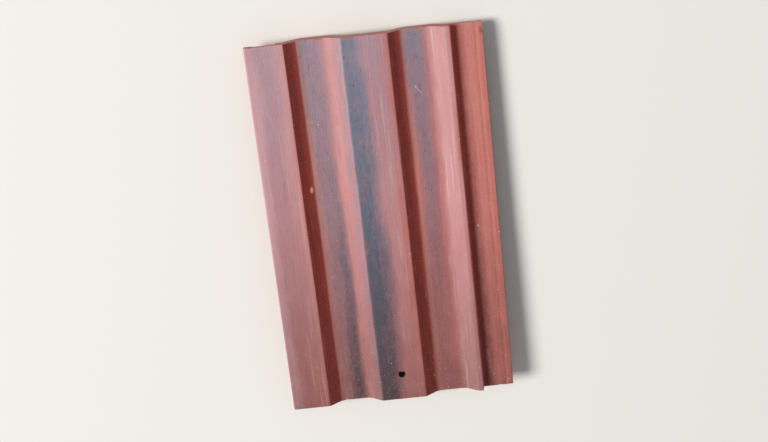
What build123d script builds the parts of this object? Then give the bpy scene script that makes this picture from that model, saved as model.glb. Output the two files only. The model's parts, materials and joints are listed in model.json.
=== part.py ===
from build123d import *
from math import asin, atan2, degrees, hypot
import os

# Interlocking roof tile with two troughs between raised rolls, lying face up on a level floor.
# It is one fired piece: the same section runs its full length and is cut square at both ends.
# Two nibs hang under its head, two weather bars cross under its tail, and one nail hole
# goes through the middle roll near the head.
#
# The tile is drawn level, then tipped onto its nibs and tail bar by the last function:
#   +Y runs up the roof from the tail to the head, +X across it to the overlapping edge,
#   z = 0 is the underside of the troughs.
# Distances across the tile are called stations. They are counted from the overlapping edge,
# and the lock strip, which the next tile covers, is at the far end of them.

# Length, and the depth of the body below every point of its face between the side laps
tile_length = 381.0
body_thickness = 13.0

# Rolls and troughs of the weather face: one roll, two slopes and a trough make one pitch
trough_count = 2
roll_width = 45.5
trough_width = 28.5
slope_run = 13.0
roll_height = 11.0
roll_edge_radius = 3.0
trough_radius = 12.0

# Side lap: the joint between two laid tiles runs down a roll
joint_gap = 2.5
roll_stub = 5.0

# Lock strip, with its wall beside the roll stub and a rib along its outer edge
strip_thickness = 6.0
wall_draft = 1.3
lock_rib_height = 2.5
lock_rib_width = 5.0
lock_rib_slope = 2.0
rib_nose_length = 8.0

# Overlapping edge: a drip stands down into the channel of the next tile, and the shoulder,
# left this far in from the first slope, keeps clear of its lock strip
lock_clearance = 1.0
drip_width = 8.0
drip_slope = 2.0
shoulder_land = 6.0
shoulder_slope = 2.0
overlap_edge_radius = 2.0
arris_radius = 0.8

# Nail hole
nail_hole_diameter = 6.5
nail_hole_from_head = 28.0

# Nibs, with an upright face that hooks over the batten
nib_width = 26.0
nib_length = 14.0
nib_drop = 12.0
nib_face_from_head = 18.0
nib_side_draft = 12.0
nib_head_draft = 18.0
nib_edge_radius = 1.5
nib_root = 1.0

# Weather bars under the tail
bar_height = 3.0
bar_width = 8.0
bar_from_tail = 6.0
bar_spacing = 24.0
bar_count = 2
lap_clearance = 0.5

# Levels that follow from the sizes above
trough_face = body_thickness
roll_face = body_thickness + roll_height
roll_underside = roll_height
strip_underside = roll_face - body_thickness - bar_height + lap_clearance
strip_floor = strip_underside + strip_thickness
lock_rib_top = strip_floor + lock_rib_height
overlap_underside = lock_rib_top + lock_clearance
drip_bottom = strip_floor + lock_clearance

# Stations that follow from the sizes above
pitch = roll_width + 2 * slope_run + trough_width
cover_width = trough_count * pitch
overlap_flat = roll_width - joint_gap - roll_stub
shoulder_foot = overlap_flat - shoulder_land
shoulder_top = shoulder_foot - shoulder_slope
side_lap = shoulder_top - lock_clearance
overall_width = cover_width + side_lap
stub_end = cover_width - joint_gap
strip_foot = stub_end - roll_stub - slope_run * (1 - strip_underside / roll_underside)


def x_at(station):
    """Turn a station, counted from the overlapping edge, into a place along X."""
    return overall_width / 2 - station


def trough_starts():
    """Station at which each trough's first slope leaves its roll."""
    return [overlap_flat + number * pitch for number in range(trough_count)]


def weather_face():
    """Corners (station, level, radius) of the face, from the overlapping edge to the lock."""
    corners = [(0, roll_face, overlap_edge_radius)]
    for start in trough_starts():
        foot = start + slope_run
        corners += [
            (start, roll_face, roll_edge_radius),
            (foot, trough_face, trough_radius),
            (foot + trough_width, trough_face, trough_radius),
            (foot + trough_width + slope_run, roll_face, roll_edge_radius),
        ]
    rib_start = overall_width - lock_rib_width
    corners += [
        (stub_end, roll_face, arris_radius),
        (stub_end + wall_draft, strip_floor, arris_radius),
        (rib_start - lock_rib_slope, strip_floor, arris_radius),
        (rib_start, lock_rib_top, arris_radius),
        (overall_width, lock_rib_top, arris_radius),
    ]
    return corners


def underside():
    """Corners of the underside, from the lock back to the overlapping edge.

    Between the side laps it is the face again, one body thickness lower, so that a tile
    of the next course nests on this one.
    """
    corners = [(overall_width, strip_underside, arris_radius)]
    for start in reversed(trough_starts()):
        foot = start + slope_run
        top = foot + trough_width + slope_run
        far_end = (top, roll_underside) if top < cover_width - roll_width else (strip_foot, strip_underside)
        corners += [
            (*far_end, roll_edge_radius),
            (foot + trough_width, 0, trough_radius),
            (foot, 0, trough_radius),
            (start, roll_underside, roll_edge_radius),
        ]
    corners += [
        (shoulder_foot, roll_underside, arris_radius),
        (shoulder_top, overlap_underside, arris_radius),
        (drip_width + drip_slope, overlap_underside, arris_radius),
        (drip_width, drip_bottom, arris_radius),
        (0, drip_bottom, arris_radius),
    ]
    return corners


def body():
    """The section of the tile, run from tail to head."""
    corners = weather_face() + underside()
    points = [(x_at(station), level) for station, level, _ in corners]
    radii = [radius for _, _, radius in corners]
    with BuildPart() as run:
        with BuildSketch(Plane.XZ):
            with BuildLine():
                FilletPolyline(*points, radius=radii, close=True)
            make_face()
        extrude(amount=-tile_length)
    return run.part


def weather_bars(tile):
    """Bars across the tail that follow the underside between the two side laps."""
    width = strip_foot - shoulder_foot
    height = 2 * roll_face
    slot = Box(width, bar_width, height, align=(Align.MAX, Align.MIN, Align.CENTER))
    lowered = Pos(0, 0, -bar_height) * tile
    starts = [bar_from_tail + number * bar_spacing for number in range(bar_count)]
    return [lowered & (Pos(x_at(shoulder_foot), start, 0) * slot) for start in starts]


def nib(station):
    """One hanging nib: square to the batten on its tail side, drafted on the others."""
    depth = nib_root + nib_drop
    with BuildPart() as block:
        with Locations((0, 0, nib_root)):
            Box(nib_width, nib_length, depth, align=(Align.CENTER, Align.MIN, Align.MAX))
        draft(block.faces().filter_by(Axis.X), Plane.XY, -nib_side_draft)
        draft(block.faces().sort_by(Axis.Y)[-1], Plane.XY, -nib_head_draft)
        fillet(block.faces().sort_by(Axis.Z)[0].edges(), nib_edge_radius)
    return Pos(x_at(station), tile_length - nib_face_from_head, 0) * block.part


def nail_hole():
    """The hole through the roll nearest the middle of the tile."""
    station = trough_starts()[trough_count // 2] - roll_width / 2
    place = Pos(x_at(station), tile_length - nail_hole_from_head, 0)
    return place * Cylinder(nail_hole_diameter / 2, 4 * roll_face)


def rib_noses():
    """Wedges that slope the lock rib down to its channel at the tail and at the head."""
    foot = overall_width - lock_rib_width - lock_rib_slope - arris_radius
    spare = arris_radius
    width = overall_width + spare - foot
    with BuildPart() as wedge:
        with BuildSketch(Plane.YZ):
            with BuildLine():
                Polyline(
                    (-spare, strip_floor),
                    (0, strip_floor),
                    (rib_nose_length, lock_rib_top),
                    (rib_nose_length, lock_rib_top + spare),
                    (-spare, lock_rib_top + spare),
                    close=True,
                )
            make_face()
        extrude(amount=width)
    at_tail = Pos(x_at(overall_width) - spare, 0, 0) * wedge.part
    at_head = at_tail.mirror(Plane.XZ.offset(-tile_length / 2))
    return [at_tail, at_head]


def level_tile():
    """The whole tile before it is laid down."""
    tile = body()
    for bar in weather_bars(tile):
        tile += bar
    for start in trough_starts():
        tile += nib(start + slope_run + trough_width / 2)
    tile -= nail_hole()
    for wedge in rib_noses():
        tile -= wedge
    return tile


def rest_angle():
    """Tilt, in degrees, at which the nibs' rounded edges and the tail bar touch the floor."""
    reach = tile_length - nib_face_from_head + nib_edge_radius - bar_from_tail
    drop = bar_height - nib_drop + nib_edge_radius
    return degrees(asin(nib_edge_radius / hypot(reach, drop)) - atan2(drop, reach))


def lay_down(tile):
    """Tip the tile onto its nibs, with the middle of its footprint on the origin."""
    tilted = Rot(rest_angle(), 0, 0) * tile
    box = tilted.bounding_box()
    middle = box.center()
    return Pos(-middle.X, -middle.Y, -box.min.Z) * tilted


roof_tile = lay_down(level_tile())

os.makedirs("parts", exist_ok=True)
export_step(roof_tile, "parts/roof_tile.step")
print("rest angle", round(rest_angle(), 3), "degrees")
print("cover width", cover_width, "overall width", overall_width)
print("volume", round(roof_tile.volume), "cubic mm, box", roof_tile.bounding_box().size)
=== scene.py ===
# %% [markdown]
# # An interlocking roof tile, fired red with grey streaks
#
# The real object is one piece of clay: a ribbon squeezed through a die, cut square at both
# ends, pressed for its nibs, coloured while wet with a red slip and a few grey streaks, and
# fired. So this lesson has one piece and one material, and all its work goes into two things:
# edges and faces that look handled and weathered, and a finish that has many thin layers.
#
# We could model the tile anew, but the exact solid is there already. It fixes every size, so
# we start from it, and nothing here has to be fitted.

import json
import math

import bmesh
import bpy
from mathutils import Matrix, Vector, noise
from mathutils.kdtree import KDTree


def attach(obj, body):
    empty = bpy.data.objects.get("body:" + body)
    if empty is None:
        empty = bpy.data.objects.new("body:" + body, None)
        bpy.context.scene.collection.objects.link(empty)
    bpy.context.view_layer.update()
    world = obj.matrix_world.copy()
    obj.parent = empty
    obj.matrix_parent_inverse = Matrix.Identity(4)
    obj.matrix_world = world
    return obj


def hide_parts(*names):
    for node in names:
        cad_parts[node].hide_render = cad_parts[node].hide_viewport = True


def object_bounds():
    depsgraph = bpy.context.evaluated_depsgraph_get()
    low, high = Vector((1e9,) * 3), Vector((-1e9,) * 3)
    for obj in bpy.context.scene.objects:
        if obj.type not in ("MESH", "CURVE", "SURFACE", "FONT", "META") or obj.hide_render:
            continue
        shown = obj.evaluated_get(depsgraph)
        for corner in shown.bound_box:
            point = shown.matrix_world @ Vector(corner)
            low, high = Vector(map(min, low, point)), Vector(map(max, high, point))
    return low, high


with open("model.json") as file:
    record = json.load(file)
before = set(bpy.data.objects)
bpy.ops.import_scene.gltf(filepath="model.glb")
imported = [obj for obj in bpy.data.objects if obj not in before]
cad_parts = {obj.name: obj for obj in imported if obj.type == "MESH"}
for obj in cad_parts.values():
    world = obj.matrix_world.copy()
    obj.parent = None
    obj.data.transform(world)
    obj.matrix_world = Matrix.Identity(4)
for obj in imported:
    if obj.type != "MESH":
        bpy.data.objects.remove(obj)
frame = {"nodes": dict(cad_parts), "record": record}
cad_low, cad_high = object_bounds()
mm = 0.001
print("exact tile, mm:", [round(side / mm, 1) for side in cad_high - cad_low])

# %% [markdown]
# ## Where things are on the tile
#
# The tile lies on its nibs, so its face leans a little. All shaping is easier on a level tile,
# so we read the lean from the nail hole's own axis, and keep one matrix that takes it away and
# one that brings it back.
#
# Distances across the tile are called stations here, counted from the edge that overlaps the
# next tile. The two troughs stand over the two nibs, and the nail hole is in the middle roll,
# so three stated points of the part give us every roll, slope and trough.

# %% Read the lean
mounts = {mount["name"]: mount for mount in frame["record"]["mounts"]}
hole_axis = mounts["nail_hole"]["axis"]
lean = math.atan2(-hole_axis[1], hole_axis[2])
to_level = Matrix.Rotation(-lean, 4, "X")
to_rest = Matrix.Rotation(lean, 4, "X")
print("lean, degrees:", round(math.degrees(lean), 3))

# %% Find the rolls and troughs
trough_width = 28.5 * mm
slope_run = 13 * mm
trough_centres = [mounts[name]["pos_m"][0] for name in ("nib_face_right", "nib_face_left")]


def station(x):
    """Distance from the overlapping edge, in metres, of a place along X."""
    return cad_high.x - x


roll_edges = []
for centre in trough_centres:
    half = trough_width / 2 + slope_run
    roll_edges += [station(centre) - half, station(centre) + half]
print("roll edges at stations, mm:", [round(edge / mm, 1) for edge in roll_edges])

# %% [markdown]
# ## The camera
#
# The photographed tile stands on its head and leans back, seen from above its tail. Ours lies
# flat, so the camera takes the same place over its face: a little beyond the square view
# towards the tail, with the tail at the top of the picture and the long edges leaning left.
# Distance sets the perspective. We state the place by two tilts rather than by coordinates,
# because a tilt can be judged by eye against the photo, and each one changes one thing only.

# %% Place the camera over the face
tail_tilt = math.radians(18.2)
lock_tilt = math.radians(1.6)
camera_distance = 1.36

view_line = Vector((-math.tan(lock_tilt), -math.tan(tail_tilt), 1)).normalized()
view_line.rotate(to_rest)
centre = (cad_low + cad_high) / 2
camera = bpy.data.objects.new("camera", bpy.data.cameras.new("camera"))
bpy.context.scene.collection.objects.link(camera)
bpy.context.scene.camera = camera
camera.location = centre + view_line * camera_distance
print("camera stands at:", [round(part, 2) for part in camera.location])

# %% [markdown]
# The camera looks back along that line. A Track To constraint would aim it too, but it has no
# place for the small roll that makes the long edges lean. So we build the camera's three
# directions one by one: across the picture, up it, and back out of it. The lens then only sets
# how large the tile is, here a share of the picture's height.

# %% Turn the camera and choose the lens
picture_roll = math.radians(6.6)
tile_share_of_height = 0.82
picture_width, picture_height = 768, 442

tail_up = Vector((0, -1, 0))
across = tail_up.cross(view_line).normalized()
up = view_line.cross(across)
turned_up = Matrix.Rotation(picture_roll, 3, -view_line) @ up
turned_across = turned_up.cross(view_line)
camera.rotation_mode = "QUATERNION"
camera.rotation_quaternion = Matrix((turned_across, turned_up, view_line)).transposed().to_quaternion()
seen_length = (cad_high.y - cad_low.y) * math.cos(tail_tilt)
pixels_per_radian = tile_share_of_height * picture_height * camera_distance / seen_length
camera.data.sensor_width = 36
camera.data.lens = pixels_per_radian / picture_width * camera.data.sensor_width
print("lens, mm:", round(camera.data.lens, 1))

# %% [markdown]
# ## Colours
#
# Colours are easiest to choose as hex values, but the renderer counts in linear light, so one
# function translates them. Every colour below goes through it.

# %% Turn hex colours to linear
curve_start, curve_slope, curve_offset, curve_power = 0.04045, 12.92, 0.055, 2.4


def linear(hex_colour, alpha=1.0):
    """An sRGB colour such as "#B8584A" as linear red, green and blue, with an alpha."""
    parts = [int(hex_colour[start:start + 2], 16) / 255 for start in (1, 3, 5)]
    straight = [part / curve_slope for part in parts]
    curved = [((part + curve_offset) / (1 + curve_offset)) ** curve_power for part in parts]
    mixed = [low if part <= curve_start else high for part, low, high in zip(parts, straight, curved)]
    return (*mixed, alpha)


print("brick red in linear light:", [round(part, 3) for part in linear("#B4665F")])

# %% [markdown]
# Sky and clay are both made of shader nodes. Adding one is always the same three steps: make
# it, choose its settings, and feed its inputs. One function does them.

# %% Add a shader node


def add_node(tree, kind, inputs=None, **settings):
    """Add a shader node, set its own settings, and feed its inputs with values or sockets."""
    node = tree.nodes.new("ShaderNode" + kind)
    for name, value in settings.items():
        setattr(node, name, value)
    for name, value in (inputs or {}).items():
        if isinstance(value, bpy.types.NodeSocket):
            tree.links.new(value, node.inputs[name])
        else:
            node.inputs[name].default_value = value
    return node


print("helper ready:", add_node.__name__)

# %% [markdown]
# ## Floor
#
# A plain pale floor keeps the tile's shadow. Dull paint spreads light evenly and mirrors next
# to nothing, so it takes no eye off the tile. One flat face is enough, large enough that its
# edge shows in no view.

# %% Build the floor
floor_size = 12.0
floor_mesh = bpy.data.meshes.new("floor")
floor_shape = bmesh.new()
bmesh.ops.create_grid(floor_shape, x_segments=1, y_segments=1, size=floor_size / 2)
floor_shape.to_mesh(floor_mesh)
floor_shape.free()
floor = bpy.data.objects.new("floor", floor_mesh)
bpy.context.scene.collection.objects.link(floor)

floor_finish = bpy.data.materials.new("pale_floor_paint")
floor_finish.use_nodes = True
floor_shader = floor_finish.node_tree.nodes["Principled BSDF"]
floor_shader.inputs["Base Color"].default_value = linear("#E4E2DE")
floor_shader.inputs["Roughness"].default_value = 0.8
floor_shader.inputs["Specular IOR Level"].default_value = 0.2
floor_mesh.materials.append(floor_finish)
print("floor side, m:", floor_size)

# %% [markdown]
# ## Sky
#
# A dim even sky fills the shade. A picture of a real sky could do that too, but it would tint
# the colours. What the camera, reflections and glass see of our sky is brighter and plain pale,
# so that the background stays clean while the tile gets little light from it.

# %% Make the sky
sky_level = 0.34
seen_sky_level = 0.85
sky = bpy.data.worlds.new("sky")
bpy.context.scene.world = sky
sky.use_nodes = True
sky_tree = sky.node_tree
ray = add_node(sky_tree, "LightPath")
seen = add_node(sky_tree, "Math", {0: ray.outputs["Is Camera Ray"], 1: ray.outputs["Is Glossy Ray"]},
                operation="MAXIMUM")
seen = add_node(sky_tree, "Math", {0: seen.outputs[0], 1: ray.outputs["Is Transmission Ray"]},
                operation="MAXIMUM")
level = add_node(sky_tree, "MapRange", {
    "Value": seen.outputs[0], "To Min": sky_level, "To Max": seen_sky_level,
})
sky_shader = sky_tree.nodes["Background"]
sky_shader.inputs["Color"].default_value = linear("#F4F6FA")
sky_tree.links.new(level.outputs[0], sky_shader.inputs["Strength"])
print("sky nodes:", len(sky_tree.nodes))

# %% [markdown]
# ## Lamp
#
# In the photo one side of each slope is bright and the other is deep in shade, so most of the
# light comes low from the side of the overlapping edge. A sun lamp would draw hard shadows, so
# one large soft disk does it. With the sky it lights a level face at strength one, and then a
# colour renders about as it is written.

# %% Hang the lamp
lamp_height = math.radians(48)
lamp_turn = math.radians(-12)
lamp_distance = 9.0
lamp = bpy.data.objects.new("side_lamp", bpy.data.lights.new("side_lamp", "AREA"))
bpy.context.scene.collection.objects.link(lamp)
lamp.data.shape = "DISK"
lamp.data.size = 3.6
lamp.data.energy = 885
lamp.data.color = linear("#FFFCF8")[:3]
lamp_line = Vector((
    math.cos(lamp_height) * math.cos(lamp_turn),
    math.cos(lamp_height) * math.sin(lamp_turn),
    math.sin(lamp_height),
))
lamp.location = centre + lamp_line * lamp_distance
lamp.rotation_mode = "QUATERNION"
lamp.rotation_quaternion = lamp_line.to_track_quat("Z", "Y")

bpy.context.scene.view_settings.view_transform = "Standard"
print("lamp stands at:", [round(part, 2) for part in lamp.location])

# %% [markdown]
# ## A copy of the solid that can be worked
#
# The exact tile arrives as loose triangles: right for measuring, but with nothing to shape
# between its corners. A Remesh modifier would give it even cells at once, but it would also
# round every edge and move every flat. So we copy it, weld the loose corners, and dissolve the
# edges inside flat areas, which leaves one clean face for each flat of the real tile. That is
# the best start for cutting a regular grid.

# %% Weld and clean a copy
weld_distance = 0.002 * mm
flat_angle = math.radians(0.3)

exact = frame["nodes"]["roof_tile"]
shape = bmesh.new()
shape.from_mesh(exact.data)
shape.transform(to_level)
bmesh.ops.remove_doubles(shape, verts=shape.verts, dist=weld_distance)
bmesh.ops.dissolve_limit(shape, angle_limit=flat_angle, verts=shape.verts, edges=shape.edges)
tail = min(corner.co.y for corner in shape.verts)
head = max(corner.co.y for corner in shape.verts)
roll_level = max(corner.co.z for corner in shape.verts)
open_edges = [edge for edge in shape.edges if not edge.is_manifold]
print("clean faces:", len(shape.faces), "open edges:", len(open_edges))

# %% [markdown]
# ## Rings on the cut ends
#
# A wire cuts both ends square through the wet ribbon, so their edges are the sharpest on the
# tile, and the first to wear. A bevel would round them evenly, like a moulding. Two narrow
# insets instead give each end face rings that follow its outline, so that its edges can be
# worn and chipped unevenly later.

# %% Inset the two end faces
ring_widths = [0.3 * mm, 0.4 * mm]
square_on = 0.999
for width in ring_widths:
    square = [face for face in shape.faces if abs(face.normal.y) > square_on]
    ends = sorted(square, key=lambda face: face.calc_area())[-2:]
    bmesh.ops.inset_region(shape, faces=ends, thickness=width, use_even_offset=True)
print("end faces:", len(ends), "faces now:", len(shape.faces))

# %% [markdown]
# ## Cutting a grid
#
# Wear needs corners to move, so every flat is now cut into small cells. Subdividing would make
# long cells on long faces, so we cut with planes, which gives the same cells everywhere.
# Cutting in order lets each plane work only on what lies beyond the last one, and keeps the
# whole job to a few seconds.

# %% Make the cutting tools
cut_snap = 0.001 * mm
hair = 0.01 * mm


def spaced(start, end, step):
    """Evenly spaced places from start to end, both left out."""
    count = round((end - start) / step)
    return [start + (end - start) * number / count for number in range(1, count)]


def cut_in_order(axis, places, parts):
    """Cut parts of the shape by planes square to an axis, each working beyond the one before."""
    normal = [0, 0, 0]
    normal[axis] = 1
    beyond = parts
    for place in sorted(places):
        point = [0, 0, 0]
        point[axis] = place
        cut = bmesh.ops.bisect_plane(
            shape, geom=beyond, dist=cut_snap, plane_co=point, plane_no=normal,
        )
        beyond = []
        for part in cut["geom"]:
            corners = [part] if isinstance(part, bmesh.types.BMVert) else part.verts
            if max(corner.co[axis] for corner in corners) > place + hair:
                beyond.append(part)


def parts_of(faces):
    """The corners, edges and faces that make up these faces, as the cut wants them."""
    corners = {corner for face in faces for corner in face.verts}
    edges = {edge for face in faces for edge in face.edges}
    return list(corners) + list(edges) + list(faces)


print("places between 0 and 1 with a step of 0.25:", spaced(0, 1, 0.25))

# %% [markdown]
# We cut along the tile first and then across it. The spacing is closer beside the long edges
# and at the ends, where wear needs fine corners.

# %% Cut the flats into cells
cell = 2.2 * mm
edge_offsets = [0.4 * mm, 0.9 * mm, 1.5 * mm]

cross_places = spaced(cad_low.x, cad_high.x, cell)
cross_places += [cad_low.x + offset for offset in edge_offsets]
cross_places += [cad_high.x - offset for offset in edge_offsets]
cut_in_order(0, cross_places, parts_of(shape.faces))
long_places = spaced(tail + edge_offsets[-1], head - edge_offsets[-1], cell)
long_places += [tail + offset for offset in edge_offsets]
long_places += [head - offset for offset in edge_offsets]
cut_in_order(1, long_places, parts_of(shape.faces))
print("cells:", len(shape.faces))

# %% [markdown]
# The two end faces are square to the length, so only the cuts across have reached them. Level
# cuts make cells of their upright strips.

# %% Cut the end faces level
square = [face for face in shape.faces if abs(face.normal.y) > square_on]
end_faces = [face for face in square if min(face.verts[0].co.y - tail, head - face.verts[0].co.y) < hair]
lowest = min(corner.co.z for face in end_faces for corner in face.verts)
cut_in_order(2, spaced(lowest, roll_level, cell), parts_of(end_faces))
print("end faces were cut from", len(end_faces), "pieces; cells now:", len(shape.faces))

# %% [markdown]
# The nail hole is only about three cells across, so the face beside it gets a finer grid of
# its own. Its rim then stays round when it is worn.

# %% Cut finer cells beside the nail hole
hole_centre = to_level @ Vector(mounts["nail_hole"]["pos_m"])
hole_radius = mounts["nail_hole"]["dims"]["r_mm"] * mm
fine_reach = 3 * hole_radius
fine_cell = 0.7 * mm
nearly_level = 0.9
for axis in (0, 1):
    level_faces = [face for face in shape.faces if abs(face.normal.z) > nearly_level]
    nearby = [
        face for face in level_faces
        if (face.calc_center_median() - hole_centre).xy.length < fine_reach
    ]
    start, end = hole_centre[axis] - fine_reach, hole_centre[axis] + fine_reach
    cut_in_order(axis, spaced(start, end, fine_cell), parts_of(nearby))
print("cells with the finer ones:", len(shape.faces))

# %% [markdown]
# ## Finding the edges that wear
#
# An edge wears where it is outward and sharp, and where one is inward dirt gathers and painted
# shade goes. We list points along every such edge, and then ask for each corner of the grid how
# far it is from the nearest one. The renderer can find edges by itself too, but only for the
# finish. Our answers are kept as numbers on the corners, so that the shape and the finish both
# know where the wear, the dirt and the painted shade are.

# %% Measure how near each corner is to a worn edge
sharp_angle = math.radians(28)
wear_reach = 2.6 * mm
nook_reach = 5 * mm

closeness_layer = shape.verts.layers.float.new("closeness")
nook_layer = shape.verts.layers.float.new("nook")
chip_layer = shape.verts.layers.float.new("chip")
shape.normal_update()


def measure_closeness(edges, reach, layer):
    """Write on each corner how close it is to the nearest of these edges, from 0 to 1."""
    tree = KDTree(2 * len(edges))
    for number, edge in enumerate(edges):
        tree.insert(edge.verts[0].co, 2 * number)
        tree.insert((edge.verts[0].co + edge.verts[1].co) / 2, 2 * number + 1)
    tree.balance()
    for corner in shape.verts:
        corner[layer] = max(0.0, 1 - tree.find(corner.co)[2] / reach)
    return sum(corner[layer] > 0 for corner in shape.verts)


bends = {edge: edge.calc_face_angle_signed(0) for edge in shape.edges if edge.is_manifold}
outward = [edge for edge, angle in bends.items() if angle > sharp_angle]
inward = [edge for edge, angle in bends.items() if angle < -sharp_angle]
print("corners near outward edges:", measure_closeness(outward, wear_reach, closeness_layer))
print("corners near inward edges:", measure_closeness(inward, nook_reach, nook_layer))

# %% [markdown]
# ## Wear, chips and the run of the die
#
# Every change takes material away, so the tile stays inside its real size. Edges lose a
# little all along, and here and there a chip breaks out. The nail hole's rim has no chips,
# since it was punched in the wet clay and nothing ever knocked it. A Displace modifier can't
# tell such edges apart, so a function works out the wear of each corner.

# %% Describe the worn edges
edge_loss = 0.22 * mm
roughness_size = 1.8 * mm
chip_depth = 1.5 * mm
chip_size = 7 * mm
chip_rarity = 0.34
chip_spread = 2.2
chip_field_shift = Vector((3.1, 7.7, 1.3))
ragged_share = 0.35
unchipped_reach = 2 * hole_radius


def half_noise(place):
    """Noise from 0 to 1."""
    return 0.5 + 0.5 * noise.noise(place)


def edge_wear(corner):
    """How deep wear and chips go at this corner, in metres, and how chipped it is, 0 to 1."""
    place = corner.co
    closeness = corner[closeness_layer]
    rough = half_noise(place / roughness_size)
    field = noise.noise(place / chip_size + chip_field_shift)
    field += ragged_share * noise.noise(place / (ragged_share * chip_size))
    chip = min(1.0, max(0.0, field - chip_rarity) * closeness * chip_spread)
    if (place - hole_centre).xy.length < unchipped_reach:
        chip = 0.0
    worn = edge_loss * closeness ** 2 * (0.5 + rough)
    broken_out = chip_depth * chip * (0.6 + 0.4 * rough)
    return worn + broken_out, chip


deepest = max(edge_wear(corner)[0] for corner in shape.verts)
print("deepest edge wear, mm:", round(deepest / mm, 2))

# %% [markdown]
# The faces get two kinds of unevenness: a slow swell about as long as a finger, and fine
# lengthwise lines that the die leaves, which is why that pattern is stretched along the tile.
# All moves are worked out before any is made, so that no corner sees a neighbour that has
# already moved.

# %% Wear the edges and ripple the faces
swell_depth = 0.175 * mm
swell_size = 70 * mm
line_depth = 0.10 * mm
line_width = 2.6 * mm
line_length = 90 * mm

moves = {}
for corner in shape.verts:
    place = corner.co
    loss, chip = edge_wear(corner)
    streak = Vector((place.x / line_width, place.y / line_length, place.z / line_width))
    loss += swell_depth * half_noise(place / swell_size) + line_depth * half_noise(streak)
    moves[corner] = corner.normal * -loss
    corner[chip_layer] = chip
for corner, move in moves.items():
    corner.co += move
print("deepest loss, mm:", round(max(move.length for move in moves.values()) / mm, 2))

# %% [markdown]
# The worn copy becomes a mesh. Its faces are shaded smooth, except across sharp edges, and it
# leans again as the real tile does when it lies on its nibs. Cells with more than four corners
# are split first, because they can bend once their corners have moved.

# %% Make the finished mesh
smooth_limit = math.radians(38)
most_corners = 4
large_cells = [face for face in shape.faces if len(face.verts) > most_corners]
bmesh.ops.triangulate(shape, faces=large_cells)
for face in shape.faces:
    face.smooth = True
shape.normal_update()
for edge in shape.edges:
    edge.smooth = edge.calc_face_angle(math.pi) < smooth_limit
shape.transform(to_rest)
tile_mesh = bpy.data.meshes.new("weathered_tile")
shape.to_mesh(tile_mesh)
shape.free()
tile = bpy.data.objects.new("weathered_tile", tile_mesh)
bpy.context.scene.collection.objects.link(tile)
triangles = sum(len(polygon.vertices) - 2 for polygon in tile_mesh.polygons)
print("triangles:", triangles)

# %% [markdown]
# ## The finish
#
# Extruded and fired clay is matt and a little sandy: it spreads the light, and shows no clear
# reflection. Its index of refraction is near 1.5 and it has nothing metallic. On the real tile
# the colour lies in layers: the red body, a mauve bloom that years of weather leave on every
# face that looks at the sky, slate grey streaks that were brushed on lengthwise before firing,
# and grime. Here some layers also carry painted light: a painted sheen in the bloom, painted
# highlights on the bends, and painted shade on the slopes that face away from the lamp, in the
# corners, in the lock channel, in the nail hole and towards the head. A painted picture could
# hold all that, but only as sharply as its pixels allow. We build the layers from nodes: each is
# one colour with a few masks that say where it lies, and it is mixed over the last.
#
# Every pattern reads the tile's own coordinates, turned level, so it follows the tile and its
# scale is a real size.

# %% Start the clay material and its coordinates
clay = bpy.data.materials.new("fired_clay_matt")
clay.use_nodes = True
tree = clay.node_tree
shader = tree.nodes["Principled BSDF"]
shader.inputs["IOR"].default_value = 1.5
shader.inputs["Metallic"].default_value = 0.0
tile_mesh.materials.append(clay)

coordinates = add_node(tree, "TexCoord")
level_place = add_node(tree, "Mapping", {
    "Vector": coordinates.outputs["Object"], "Rotation": (-lean, 0, 0),
})
place_parts = add_node(tree, "SeparateXYZ", {0: level_place.outputs[0]})
facing_parts = add_node(tree, "SeparateXYZ", {0: coordinates.outputs["Normal"]})
along = add_node(tree, "MapRange", {
    "Value": place_parts.outputs["Y"], "From Min": tail, "From Max": head,
}).outputs[0]
print("tail and head, mm:", round(tail / mm, 1), round(head / mm, 1))

# %% [markdown]
# ### Two tools for the layers
#
# Everything on this face is drawn out along the tile, by the die, the brush or the rain. So
# one helper makes noise with a width and a length, and lets a mask rise where the noise is
# high. It moves the noise by the number of nodes made so far, so that no two masks look alike.
# The other helper lays a colour over what is there, where all its masks agree.

# %% Make the two tools


def streaks(width, length, start, end, low=0.0, high=1.0, detail=3.0):
    """A mask of marks this wide and long: low where the noise is at start, high at end."""
    place = len(tree.nodes)
    stretched = add_node(tree, "Mapping", {
        "Vector": level_place.outputs[0],
        "Location": (place, place, place),
        "Scale": (1 / width, 1 / length, 1 / width),
    })
    marks = add_node(tree, "TexNoise", {"Vector": stretched.outputs[0], "Scale": 1.0, "Detail": detail})
    mask = add_node(tree, "MapRange", {
        "Value": marks.outputs[0], "From Min": start, "From Max": end, "To Min": low, "To Max": high,
    }, interpolation_type="SMOOTHSTEP")
    return mask.outputs[0]


def lay_over(under, hex_colour, masks, most=1.0):
    """Lay a colour over the finish so far, where all masks agree and at most this strongly."""
    amount = most
    for mask in masks:
        amount = add_node(tree, "Math", {0: amount, 1: mask}, operation="MULTIPLY").outputs[0]
    over = linear(hex_colour) if isinstance(hex_colour, str) else hex_colour
    return add_node(tree, "Mix", {0: amount, 6: under, 7: over}, data_type="RGBA").outputs[2]


print("helpers ready:", streaks.__name__, lay_over.__name__)

# %% [markdown]
# ### Where each layer lies
#
# Across the tile we count stations, as before, but let them wander: slowly by a few
# millimetres, because nothing brushed on by hand is straight, and quickly by less, which frays
# the sides of a streak.

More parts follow.
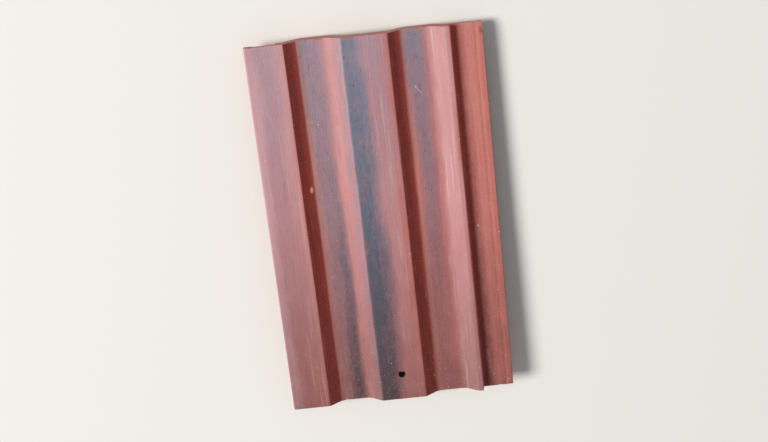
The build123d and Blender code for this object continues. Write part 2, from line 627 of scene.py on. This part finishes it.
# %% Count wandering stations
slow_wander, quick_wander = 3 * mm, 1.6 * mm
straight_station = add_node(tree, "Math", {
    0: cad_high.x, 1: place_parts.outputs["X"],
}, operation="SUBTRACT").outputs[0]
slow = streaks(30 * mm, 110 * mm, 0.2, 0.8, -slow_wander, slow_wander, detail=1.0)
quick = streaks(5 * mm, 22 * mm, 0.2, 0.8, -quick_wander, quick_wander, detail=4.0)
wander = add_node(tree, "Math", {0: slow, 1: quick}, operation="ADD")
wandering_station = add_node(tree, "Math", {
    0: straight_station, 1: wander.outputs[0],
}, operation="ADD").outputs[0]
print("stations wander by up to, mm:", round((slow_wander + quick_wander) / mm, 1))

# %% [markdown]
# A stripe is then a stretch of stations with soft sides, whose strength changes evenly from
# the tail to the head. A colour ramp could hold all the stripes of a layer at once, but its
# stops are hard to read. A row of plain millimetres for each stripe can be checked with a ruler.

# %% Make stripes


def stripes(rows, stations):
    """The strongest of several lengthwise stripes.

    Each row gives a stripe's middle, half its full width and half its soft side, in mm, and
    then its strength at the tail and at the head.
    """
    together = 0.0
    for middle, half, soft, at_tail, at_head in rows:
        offset = add_node(tree, "Math", {0: stations, 1: middle * mm}, operation="SUBTRACT")
        distance = add_node(tree, "Math", {0: offset.outputs[0]}, operation="ABSOLUTE")
        inside = add_node(tree, "MapRange", {
            "Value": distance.outputs[0], "From Min": (half + soft) * mm, "From Max": (half - soft) * mm,
        }, interpolation_type="SMOOTHSTEP")
        strength = add_node(tree, "MapRange", {"Value": along, "To Min": at_tail, "To Max": at_head})
        stripe = add_node(tree, "Math", {
            0: inside.outputs[0], 1: strength.outputs[0],
        }, operation="MULTIPLY")
        stronger = add_node(tree, "Math", {0: together, 1: stripe.outputs[0]}, operation="MAXIMUM")
        together = stronger.outputs[0]
    return together


print("helper ready:", stripes.__name__)

# %% [markdown]
# Single marks need their own place. A spot is an ellipse given by its station, its distance
# from the tail, its width and length, and how far it is turned. It is only as deep as the face,
# or it would show on the underside too.

# %% Place single spots
spot_edge_start, spot_edge_end = 0.7, 1.25
spot_level = roll_level - 9 * mm
spot_depth = 16 * mm


def spot(station_mm, from_tail_mm, width_mm, length_mm, turn=0.0):
    """A mask that is 1 inside one small ellipse and falls to 0 around it."""
    middle = (cad_high.x - station_mm * mm, tail + from_tail_mm * mm, spot_level)
    offset = add_node(tree, "VectorMath", {0: level_place.outputs[0], 1: middle}, operation="SUBTRACT")
    turned = add_node(tree, "VectorRotate", {
        "Vector": offset.outputs[0], "Angle": math.radians(turn),
    }, rotation_type="Z_AXIS")
    scales = (2 / (width_mm * mm), 2 / (length_mm * mm), 2 / spot_depth)
    scaled = add_node(tree, "VectorMath", {0: turned.outputs[0], 1: scales}, operation="MULTIPLY")
    radius = add_node(tree, "VectorMath", {0: scaled.outputs[0]}, operation="LENGTH")
    inside = add_node(tree, "MapRange", {
        "Value": radius.outputs["Value"], "From Min": spot_edge_end, "From Max": spot_edge_start,
    }, interpolation_type="SMOOTHSTEP")
    return inside.outputs[0]


print("helper ready:", spot.__name__)

# %% [markdown]
# ### The red body
#
# Iron in the clay burns to brick red. The slip on it is never quite even, so a deeper red
# follows the die and the brush in long thin streaks, and a paler one lies in broad clouds.

# %% Mix the body red
drawn = streaks(4.5 * mm, 120 * mm, 0.45, 0.75)
colour = lay_over(linear("#B4665F"), "#A04F48", [drawn], most=0.5)
clouds = streaks(30 * mm, 50 * mm, 0.48, 0.75)
colour = lay_over(colour, "#C27D72", [clouds], most=0.4)
print("clay nodes with the body red:", len(tree.nodes))

# %% [markdown]
# ### What each face looks at
#
# The weather only works on faces that look at the sky, and of those the slopes that face the
# lock strip keep a clean deep red. These slopes also face away from the lamp, so the same masks
# carry painted shade and painted light. The faces' own direction tells us which is which: a level
# face has an upward part of 1, and the sheltered slopes lean towards minus X.

# %% Tell the faces apart
open_sky = add_node(tree, "MapRange", {
    "Value": facing_parts.outputs["Z"], "From Min": 0.35, "From Max": 0.62,
}, interpolation_type="SMOOTHSTEP").outputs[0]
exposed_lit_side = add_node(tree, "MapRange", {
    "Value": facing_parts.outputs["X"], "From Min": -0.56, "From Max": -0.26,
}, interpolation_type="SMOOTHSTEP").outputs[0]
sheltered_shade_side = add_node(tree, "Math", {0: 1.0, 1: exposed_lit_side}, operation="SUBTRACT").outputs[0]
print("clay nodes with the directions:", len(tree.nodes))

# %% [markdown]
# ### Sheltered slopes
#
# They have a few darker runs of damp and some dry pale ones. Their deep red is partly their own
# colour and partly painted shade. Under the edge of the roll they are darkest, with painted
# shade, and near their foot a little brighter, with painted light. The bottom corner of the lock
# channel, which the next tile covers on a roof, gets a lighter saturated red: painted light
# reflected from its red walls into the shade.

# %% Paint shade and light on the sheltered slopes and the channel
# Slopes facing away from the lamp: a deep clean red, partly their own colour and partly painted shade.
colour = lay_over(colour, "#962F24", [sheltered_shade_side, open_sky], most=0.95)
damp_runs = streaks(5 * mm, 30 * mm, 0.44, 0.70, detail=5.0)
colour = lay_over(colour, "#661C14", [sheltered_shade_side, open_sky, damp_runs], most=0.5)
dry_runs = streaks(3 * mm, 22 * mm, 0.56, 0.74, detail=5.0)
colour = lay_over(colour, "#B0665A", [sheltered_shade_side, open_sky, dry_runs], most=0.35)
# Painted shade under the edge of each roll, and painted light near the foot of each sheltered slope.
shade_under_roll = [(40, 4, 3, 0.45, 0.10), (141, 5, 3, 0.60, 0.30)]
light_at_foot = [(48, 3, 2.5, 0.45, 0.0), (148, 3, 2.5, 0.40, 0.0)]
colour = lay_over(colour, "#5C1A14", [stripes(shade_under_roll, straight_station), sheltered_shade_side, open_sky], most=0.8)
colour = lay_over(colour, "#B5574C", [stripes(light_at_foot, straight_station), sheltered_shade_side, open_sky], most=0.8)
# Painted light: a lighter red in the bottom corner of the lock channel, as if reflected from its red walls
# into the shade.
channel_corner_bounce = stripes([(200.5, 4, 1.5, 1.0, 1.0)], straight_station)
not_below = add_node(tree, "MapRange", {
    "Value": facing_parts.outputs["Z"], "From Min": -0.6, "From Max": -0.2,
}).outputs[0]
colour = lay_over(colour, "#B4463D", [channel_corner_bounce, not_below], most=0.9)
print("clay nodes with the sheltered red:", len(tree.nodes))

# %% [markdown]
# ### Bloom and painted sheen
#
# Years of rain leave a pale mauve film on the red, and the same layer carries a painted sheen
# of sky light, so it lies only on faces that look up and towards the lamp. It is thickest at the
# tail, which stood uppermost in storage, and thinnest in the second trough; part of its fall from
# tail to head is painted light. On the slopes that face the overlapping edge it is warmer and
# nearly cream, film and painted sheen together, and along the bends beside the sheltered slopes
# a salmon red is a painted highlight. The outer part of the lock strip has a faint haze, paler at
# the tail, partly painted light.

# %% Lay the bloom and painted sheen over the red
bloom_and_sheen_rows = [
    (4, 8, 5, 0.78, 0.58),
    (20, 20, 6, 0.74, 0.08),
    (64, 15, 8, 0.56, 0.22),
    (116, 17, 8, 0.58, 0.18),
    (163, 12, 8, 0.14, 0.04),
    (177, 5, 4, 0.36, 0.05),
]
cream_bloom_and_sheen_rows = [(84, 8, 5, 0.55, 0.20), (188, 9, 4, 0.56, 0.46)]
# Painted highlights: salmon red along the bends beside the sheltered slopes.
salmon_highlight_rows = [
    (36, 1.8, 1.4, 0.5, 0.4),
    (53, 4.2, 3.0, 0.9, 0.5),
    (77, 2.5, 2.0, 0.4, 0.3),
    (152.5, 2.6, 2.0, 0.7, 0.35),
]
# Bloom, cream and lock strip haze: partly film, partly painted sky sheen and light that fades towards the
# head.
film_and_sheen_patches = streaks(7 * mm, 45 * mm, 0.25, 0.70, low=0.78, detail=5.0)
colour = lay_over(colour, "#C8A6B0", [stripes(bloom_and_sheen_rows, wandering_station), film_and_sheen_patches, open_sky, exposed_lit_side])
colour = lay_over(colour, "#C6A2A8", [stripes(cream_bloom_and_sheen_rows, wandering_station), film_and_sheen_patches, open_sky, exposed_lit_side])
colour = lay_over(colour, "#C98577", [stripes(salmon_highlight_rows, straight_station), film_and_sheen_patches, open_sky, exposed_lit_side])
strip_haze_and_light = stripes([(217, 8, 4, 0.60, 0.0)], straight_station)
colour = lay_over(colour, "#CF8D82", [strip_haze_and_light, film_and_sheen_patches, open_sky], most=0.7)
print("bloom stripes:", len(bloom_and_sheen_rows) + len(cream_bloom_and_sheen_rows) + len(salmon_highlight_rows) + 1)

# %% [markdown]
# ### Slate grey streaks
#
# The grey is a thin slip with manganese in it. Its widest streak runs the whole length of the
# middle roll, and each trough has a fainter one. It stays on the flats, because the brush
# missed the slopes. It is thinned by long brush marks, soft patches and a fine mottle, where
# the red shows through, and it holds small sooty specks. At the tail the weather has turned it
# to a pale blue grey, and near the head it is almost black; part of that change from tail to
# head is painted shade.

# %% Brush on the grey
grey_rows = [
    (18, 11, 9, 0.42, 0.14),
    (60, 9, 7, 0.78, 0.42),
    (69, 7, 6, 0.58, 1.00),
    (98, 12, 7, 1.05, 1.20),
    (107, 8, 9, 0.88, 1.15),
    (124, 11, 9, 0.48, -0.20),
    (162, 9, 7, 0.94, 0.24),
]
slate = add_node(tree, "Mix", {0: along, 6: linear("#6E768A"), 7: linear("#30323F")}, data_type="RGBA")
brush = streaks(4 * mm, 60 * mm, 0.25, 0.60, low=0.88, detail=4.0)
patches = streaks(14 * mm, 30 * mm, 0.30, 0.60, low=0.84, detail=5.0)
mottle = streaks(4 * mm, 8 * mm, 0.34, 0.56, low=0.84, detail=4.0)
flats = add_node(tree, "MapRange", {
    "Value": facing_parts.outputs["Z"], "From Min": 0.84, "From Max": 0.98,
}, interpolation_type="SMOOTHSTEP").outputs[0]
grey = stripes(grey_rows, wandering_station)
colour = lay_over(colour, slate.outputs[2], [grey, brush, patches, mottle, flats])
soot = streaks(3.2 * mm, 7 * mm, 0.58, 0.72, detail=3.0)
colour = lay_over(colour, "#3C3B46", [grey, soot, flats], most=0.35)
print("grey stripes:", len(grey_rows))

# %% [markdown]
# ### Chalky lines
#
# Where the middle roll begins, rain has left a thin chalky line along the arris, with a fainter
# haze down the slope beside it. It fades past the middle of the tile, and it doesn't wander,
# since it lies on a real edge.

# %% Draw the chalky line
arris = roll_edges[1] / mm
broken = streaks(2.5 * mm, 22 * mm, 0.34, 0.60, low=0.2, detail=4.0)
arris_line = stripes([(arris - 0.4, 1.3, 0.9, 0.8, -0.4)], straight_station)
colour = lay_over(colour, "#B6B8C0", [arris_line, broken, open_sky], most=0.75)
arris_haze = stripes([(arris - 3.5, 4, 2.5, 1.0, 0.7)], straight_station)
colour = lay_over(colour, "#96848F", [arris_haze, broken, open_sky], most=0.85)
print("arris at station, mm:", round(arris, 1))

# %% [markdown]
# The slope beside the lock strip has fine pale scratches, rubbed on when the tile was handled
# and stored, and the flats of the rolls have a few.

# %% Draw the rubbed scratches
scratch_rows = [(186, 8, 3, 0.7, 0.9), (128, 9, 4, 0.4, 0.5), (30, 8, 4, 0.2, 0.5)]
scratches = streaks(1.8 * mm, 70 * mm, 0.56, 0.72, detail=4.0)
scratched = stripes(scratch_rows, wandering_station)
colour = lay_over(colour, "#D6BFB4", [scratched, scratches, open_sky], most=0.7)
print("scratched stretches:", len(scratch_rows))

# %% [markdown]
# ### Painted shade and grime
#
# The faces darken towards the head, in soft patches: painted shade, on the open faces and on the sheltered
# slopes.

# %% Paint shade towards the head
towards_head = add_node(tree, "MapRange", {"Value": along, "From Min": 0.45, "From Max": 1.0}).outputs[0]
head_shade_patches = streaks(14 * mm, 26 * mm, 0.30, 0.62, low=0.7, detail=5.0)
colour = lay_over(colour, "#4A2A28", [towards_head, head_shade_patches, open_sky, exposed_lit_side], most=0.55)
colour = lay_over(colour, "#4A150F", [towards_head, sheltered_shade_side, open_sky], most=0.3)
print("clay nodes with the darker head:", len(tree.nodes))

# %% [markdown]
# Every inward corner gets a dark red, partly dirt and partly painted shade. The lock channel gets
# a painted shadow with some dirt beside its wall, wider towards the head, and a thin line of
# painted shade at the foot of its rib.

# %% Darken the nooks
nook = add_node(tree, "Attribute", attribute_name="nook").outputs["Fac"]
dirt_and_shade_patches = streaks(5 * mm, 14 * mm, 0.32, 0.60, low=0.55, detail=5.0)
colour = lay_over(colour, "#6E1F14", [nook, dirt_and_shade_patches], most=0.8)
# Painted shadow with some dirt beside the lock channel's wall, growing towards the head, and painted shade
# at the rib's foot.
channel_shadow_rows = stripes([(206, 5, 3, 0.18, 0.9), (221.5, 1.8, 1.4, 0.25, 0.35)], straight_station)
colour = lay_over(colour, "#52201B", [channel_shadow_rows, dirt_and_shade_patches, open_sky], most=0.8)
print("clay nodes with the nooks:", len(tree.nodes))

# %% [markdown]
# Splashed soil left faint specks on the last few centimetres, and a few single specks of lime
# lie anywhere on the open face. Both are noise of which only the highest peaks show.

# %% Splash the soil
splash_zone = add_node(tree, "MapRange", {"Value": along, "From Min": 0.78, "From Max": 1.0}).outputs[0]
splash = streaks(2.2 * mm, 3.0 * mm, 0.66, 0.76, detail=2.0)
colour = lay_over(colour, "#B39F88", [splash_zone, splash, open_sky], most=0.6)
specks = streaks(2.6 * mm, 4.0 * mm, 0.755, 0.785, detail=2.0)
colour = lay_over(colour, "#D8CCBC", [specks, open_sky], most=0.8)
print("clay nodes with the specks:", len(tree.nodes))

# %% [markdown]
# A fleck of lime sticks to the first sheltered slope, and the trough beside the lock strip has
# one short slanting scratch, deepest where it starts.

# %% Add the fleck and the scratch
fleck = spot(47.2, 149, 3.0, 6.4)
crumbs = streaks(1.3 * mm, 1.8 * mm, 0.40, 0.50, low=0.55)
scratch_start = spot(159.8, 57, 2.6, 3.4)
scratch_line = spot(162.6, 61, 1.5, 12, -39)
colour = lay_over(colour, "#FBC0B4", [fleck, crumbs], most=0.98)
colour = lay_over(colour, "#BBA8AE", [scratch_start], most=0.45)
colour = lay_over(colour, "#B3A0A7", [scratch_line], most=0.45)
print("clay nodes with the single marks:", len(tree.nodes))

# %% [markdown]
# ### Underside and cut ends
#
# The underside never met rain. Its red is duller, with a dry dusty haze in soft patches. The
# wire that cut the ends dragged sand through the clay, so those are coarser, with dark pits
# and pale grit in them.

# %% Dust the underside and roughen the ends
hidden = add_node(tree, "Math", {0: 1.0, 1: open_sky}, operation="SUBTRACT").outputs[0]
haze = streaks(22 * mm, 40 * mm, 0.35, 0.70, low=0.35, detail=5.0)
colour = lay_over(colour, "#B98A7C", [hidden, haze], most=0.5)
end_facing = add_node(tree, "Math", {0: facing_parts.outputs["Y"]}, operation="ABSOLUTE")
cut_end = add_node(tree, "MapRange", {
    "Value": end_facing.outputs[0], "From Min": 0.85, "From Max": 0.97,
}, interpolation_type="SMOOTHSTEP").outputs[0]
pits = streaks(1.6 * mm, 1.6 * mm, 0.56, 0.66, detail=4.0)
grit = streaks(1.4 * mm, 1.4 * mm, 0.62, 0.70, detail=2.0)
colour = lay_over(colour, "#6B3A33", [cut_end, pits], most=0.6)
colour = lay_over(colour, "#CFA090", [cut_end, grit], most=0.5)
print("clay nodes with the hidden faces:", len(tree.nodes))

# %% [markdown]
# ### Rubbed edges and chips
#
# Where the shape lost material the finish has to agree, or the chips would look painted.
# The numbers that we left on the corners come back here as masks.

# %% Show the wear in the colour
closeness = add_node(tree, "Attribute", attribute_name="closeness").outputs["Fac"]
chipped = add_node(tree, "Attribute", attribute_name="chip").outputs["Fac"]
near_edge = add_node(tree, "MapRange", {"Value": closeness, "From Min": 0.55, "From Max": 0.95}).outputs[0]
rubbing = streaks(2.4 * mm, 5 * mm, 0.38, 0.66, low=0.15, detail=3.0)
colour = lay_over(colour, "#C98F86", [near_edge, rubbing], most=0.5)
fresh = add_node(tree, "MapRange", {"Value": chipped, "From Min": 0.05, "From Max": 0.3}).outputs[0]
colour = lay_over(colour, "#AB6A5A", [fresh])
print("clay nodes with the wear:", len(tree.nodes))

# %% [markdown]
# The inside of the nail hole is painted nearly black: painted shade. Its mask is the distance
# from the hole's axis, which needs no extra mesh and is right at any depth.

# %% Darken the nail hole
hole_shade_start, hole_shade_full = hole_radius + 0.9 * mm, hole_radius + 0.5 * mm
beside_hole = add_node(tree, "VectorMath", {
    0: level_place.outputs[0], 1: (hole_centre.x, hole_centre.y, 0),
}, operation="SUBTRACT")
flattened = add_node(tree, "VectorMath", {0: beside_hole.outputs[0], 1: (1, 1, 0)}, operation="MULTIPLY")
hole_distance = add_node(tree, "VectorMath", {0: flattened.outputs[0]}, operation="LENGTH")
in_hole = add_node(tree, "MapRange", {
    "Value": hole_distance.outputs["Value"], "From Min": hole_shade_start, "From Max": hole_shade_full,
}, interpolation_type="SMOOTHSTEP")
colour = lay_over(colour, "#24110F", [in_hole.outputs[0]], most=0.97)
print("nail hole radius, mm:", round(hole_radius / mm, 2))

# %% [markdown]
# ### Grain
#
# The clay holds sand of a quarter to half a millimetre. It shows as a fine speckle in the
# colour, drawn at about twice its size here, so that it can be seen.

# %% Add the grain
grain_size = 0.9 * mm
dark_grain = streaks(grain_size, grain_size, 0.56, 0.72)
pale_grain = streaks(grain_size, grain_size, 0.58, 0.70)
colour = lay_over(colour, "#6E3A33", [dark_grain], most=0.28)
colour = lay_over(colour, "#E2B7A8", [pale_grain], most=0.20)
tree.links.new(colour, shader.inputs["Base Color"])
print("clay nodes with the grain:", len(tree.nodes))

# %% [markdown]
# The same sand makes the surface dull, and it stands a little proud. The die leaves fine lines
# a millimetre apart. Both are too shallow to cut into the mesh, so they are bump.

# %% Add roughness and bump
line_height, sand_height = 0.12 * mm, 0.22 * mm
rough = streaks(grain_size, grain_size, 0.3, 0.7, low=0.74, high=0.9)
tree.links.new(rough, shader.inputs["Roughness"])

die_lines = streaks(1.3 * mm, 80 * mm, 0.2, 0.8)
sand = streaks(grain_size, grain_size, 0.2, 0.8)
line_bump = add_node(tree, "Bump", {"Height": die_lines, "Distance": line_height, "Strength": 1.0})
sand_bump = add_node(tree, "Bump", {
    "Height": sand, "Distance": sand_height, "Strength": 1.0, "Normal": line_bump.outputs[0],
})
tree.links.new(sand_bump.outputs[0], shader.inputs["Normal"])
print("clay nodes:", len(tree.nodes))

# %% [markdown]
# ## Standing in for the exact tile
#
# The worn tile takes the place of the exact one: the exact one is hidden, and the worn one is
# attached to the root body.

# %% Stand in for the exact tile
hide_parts("roof_tile")
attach(tile, "root")
print("stands in for roof_tile:", tile.name)
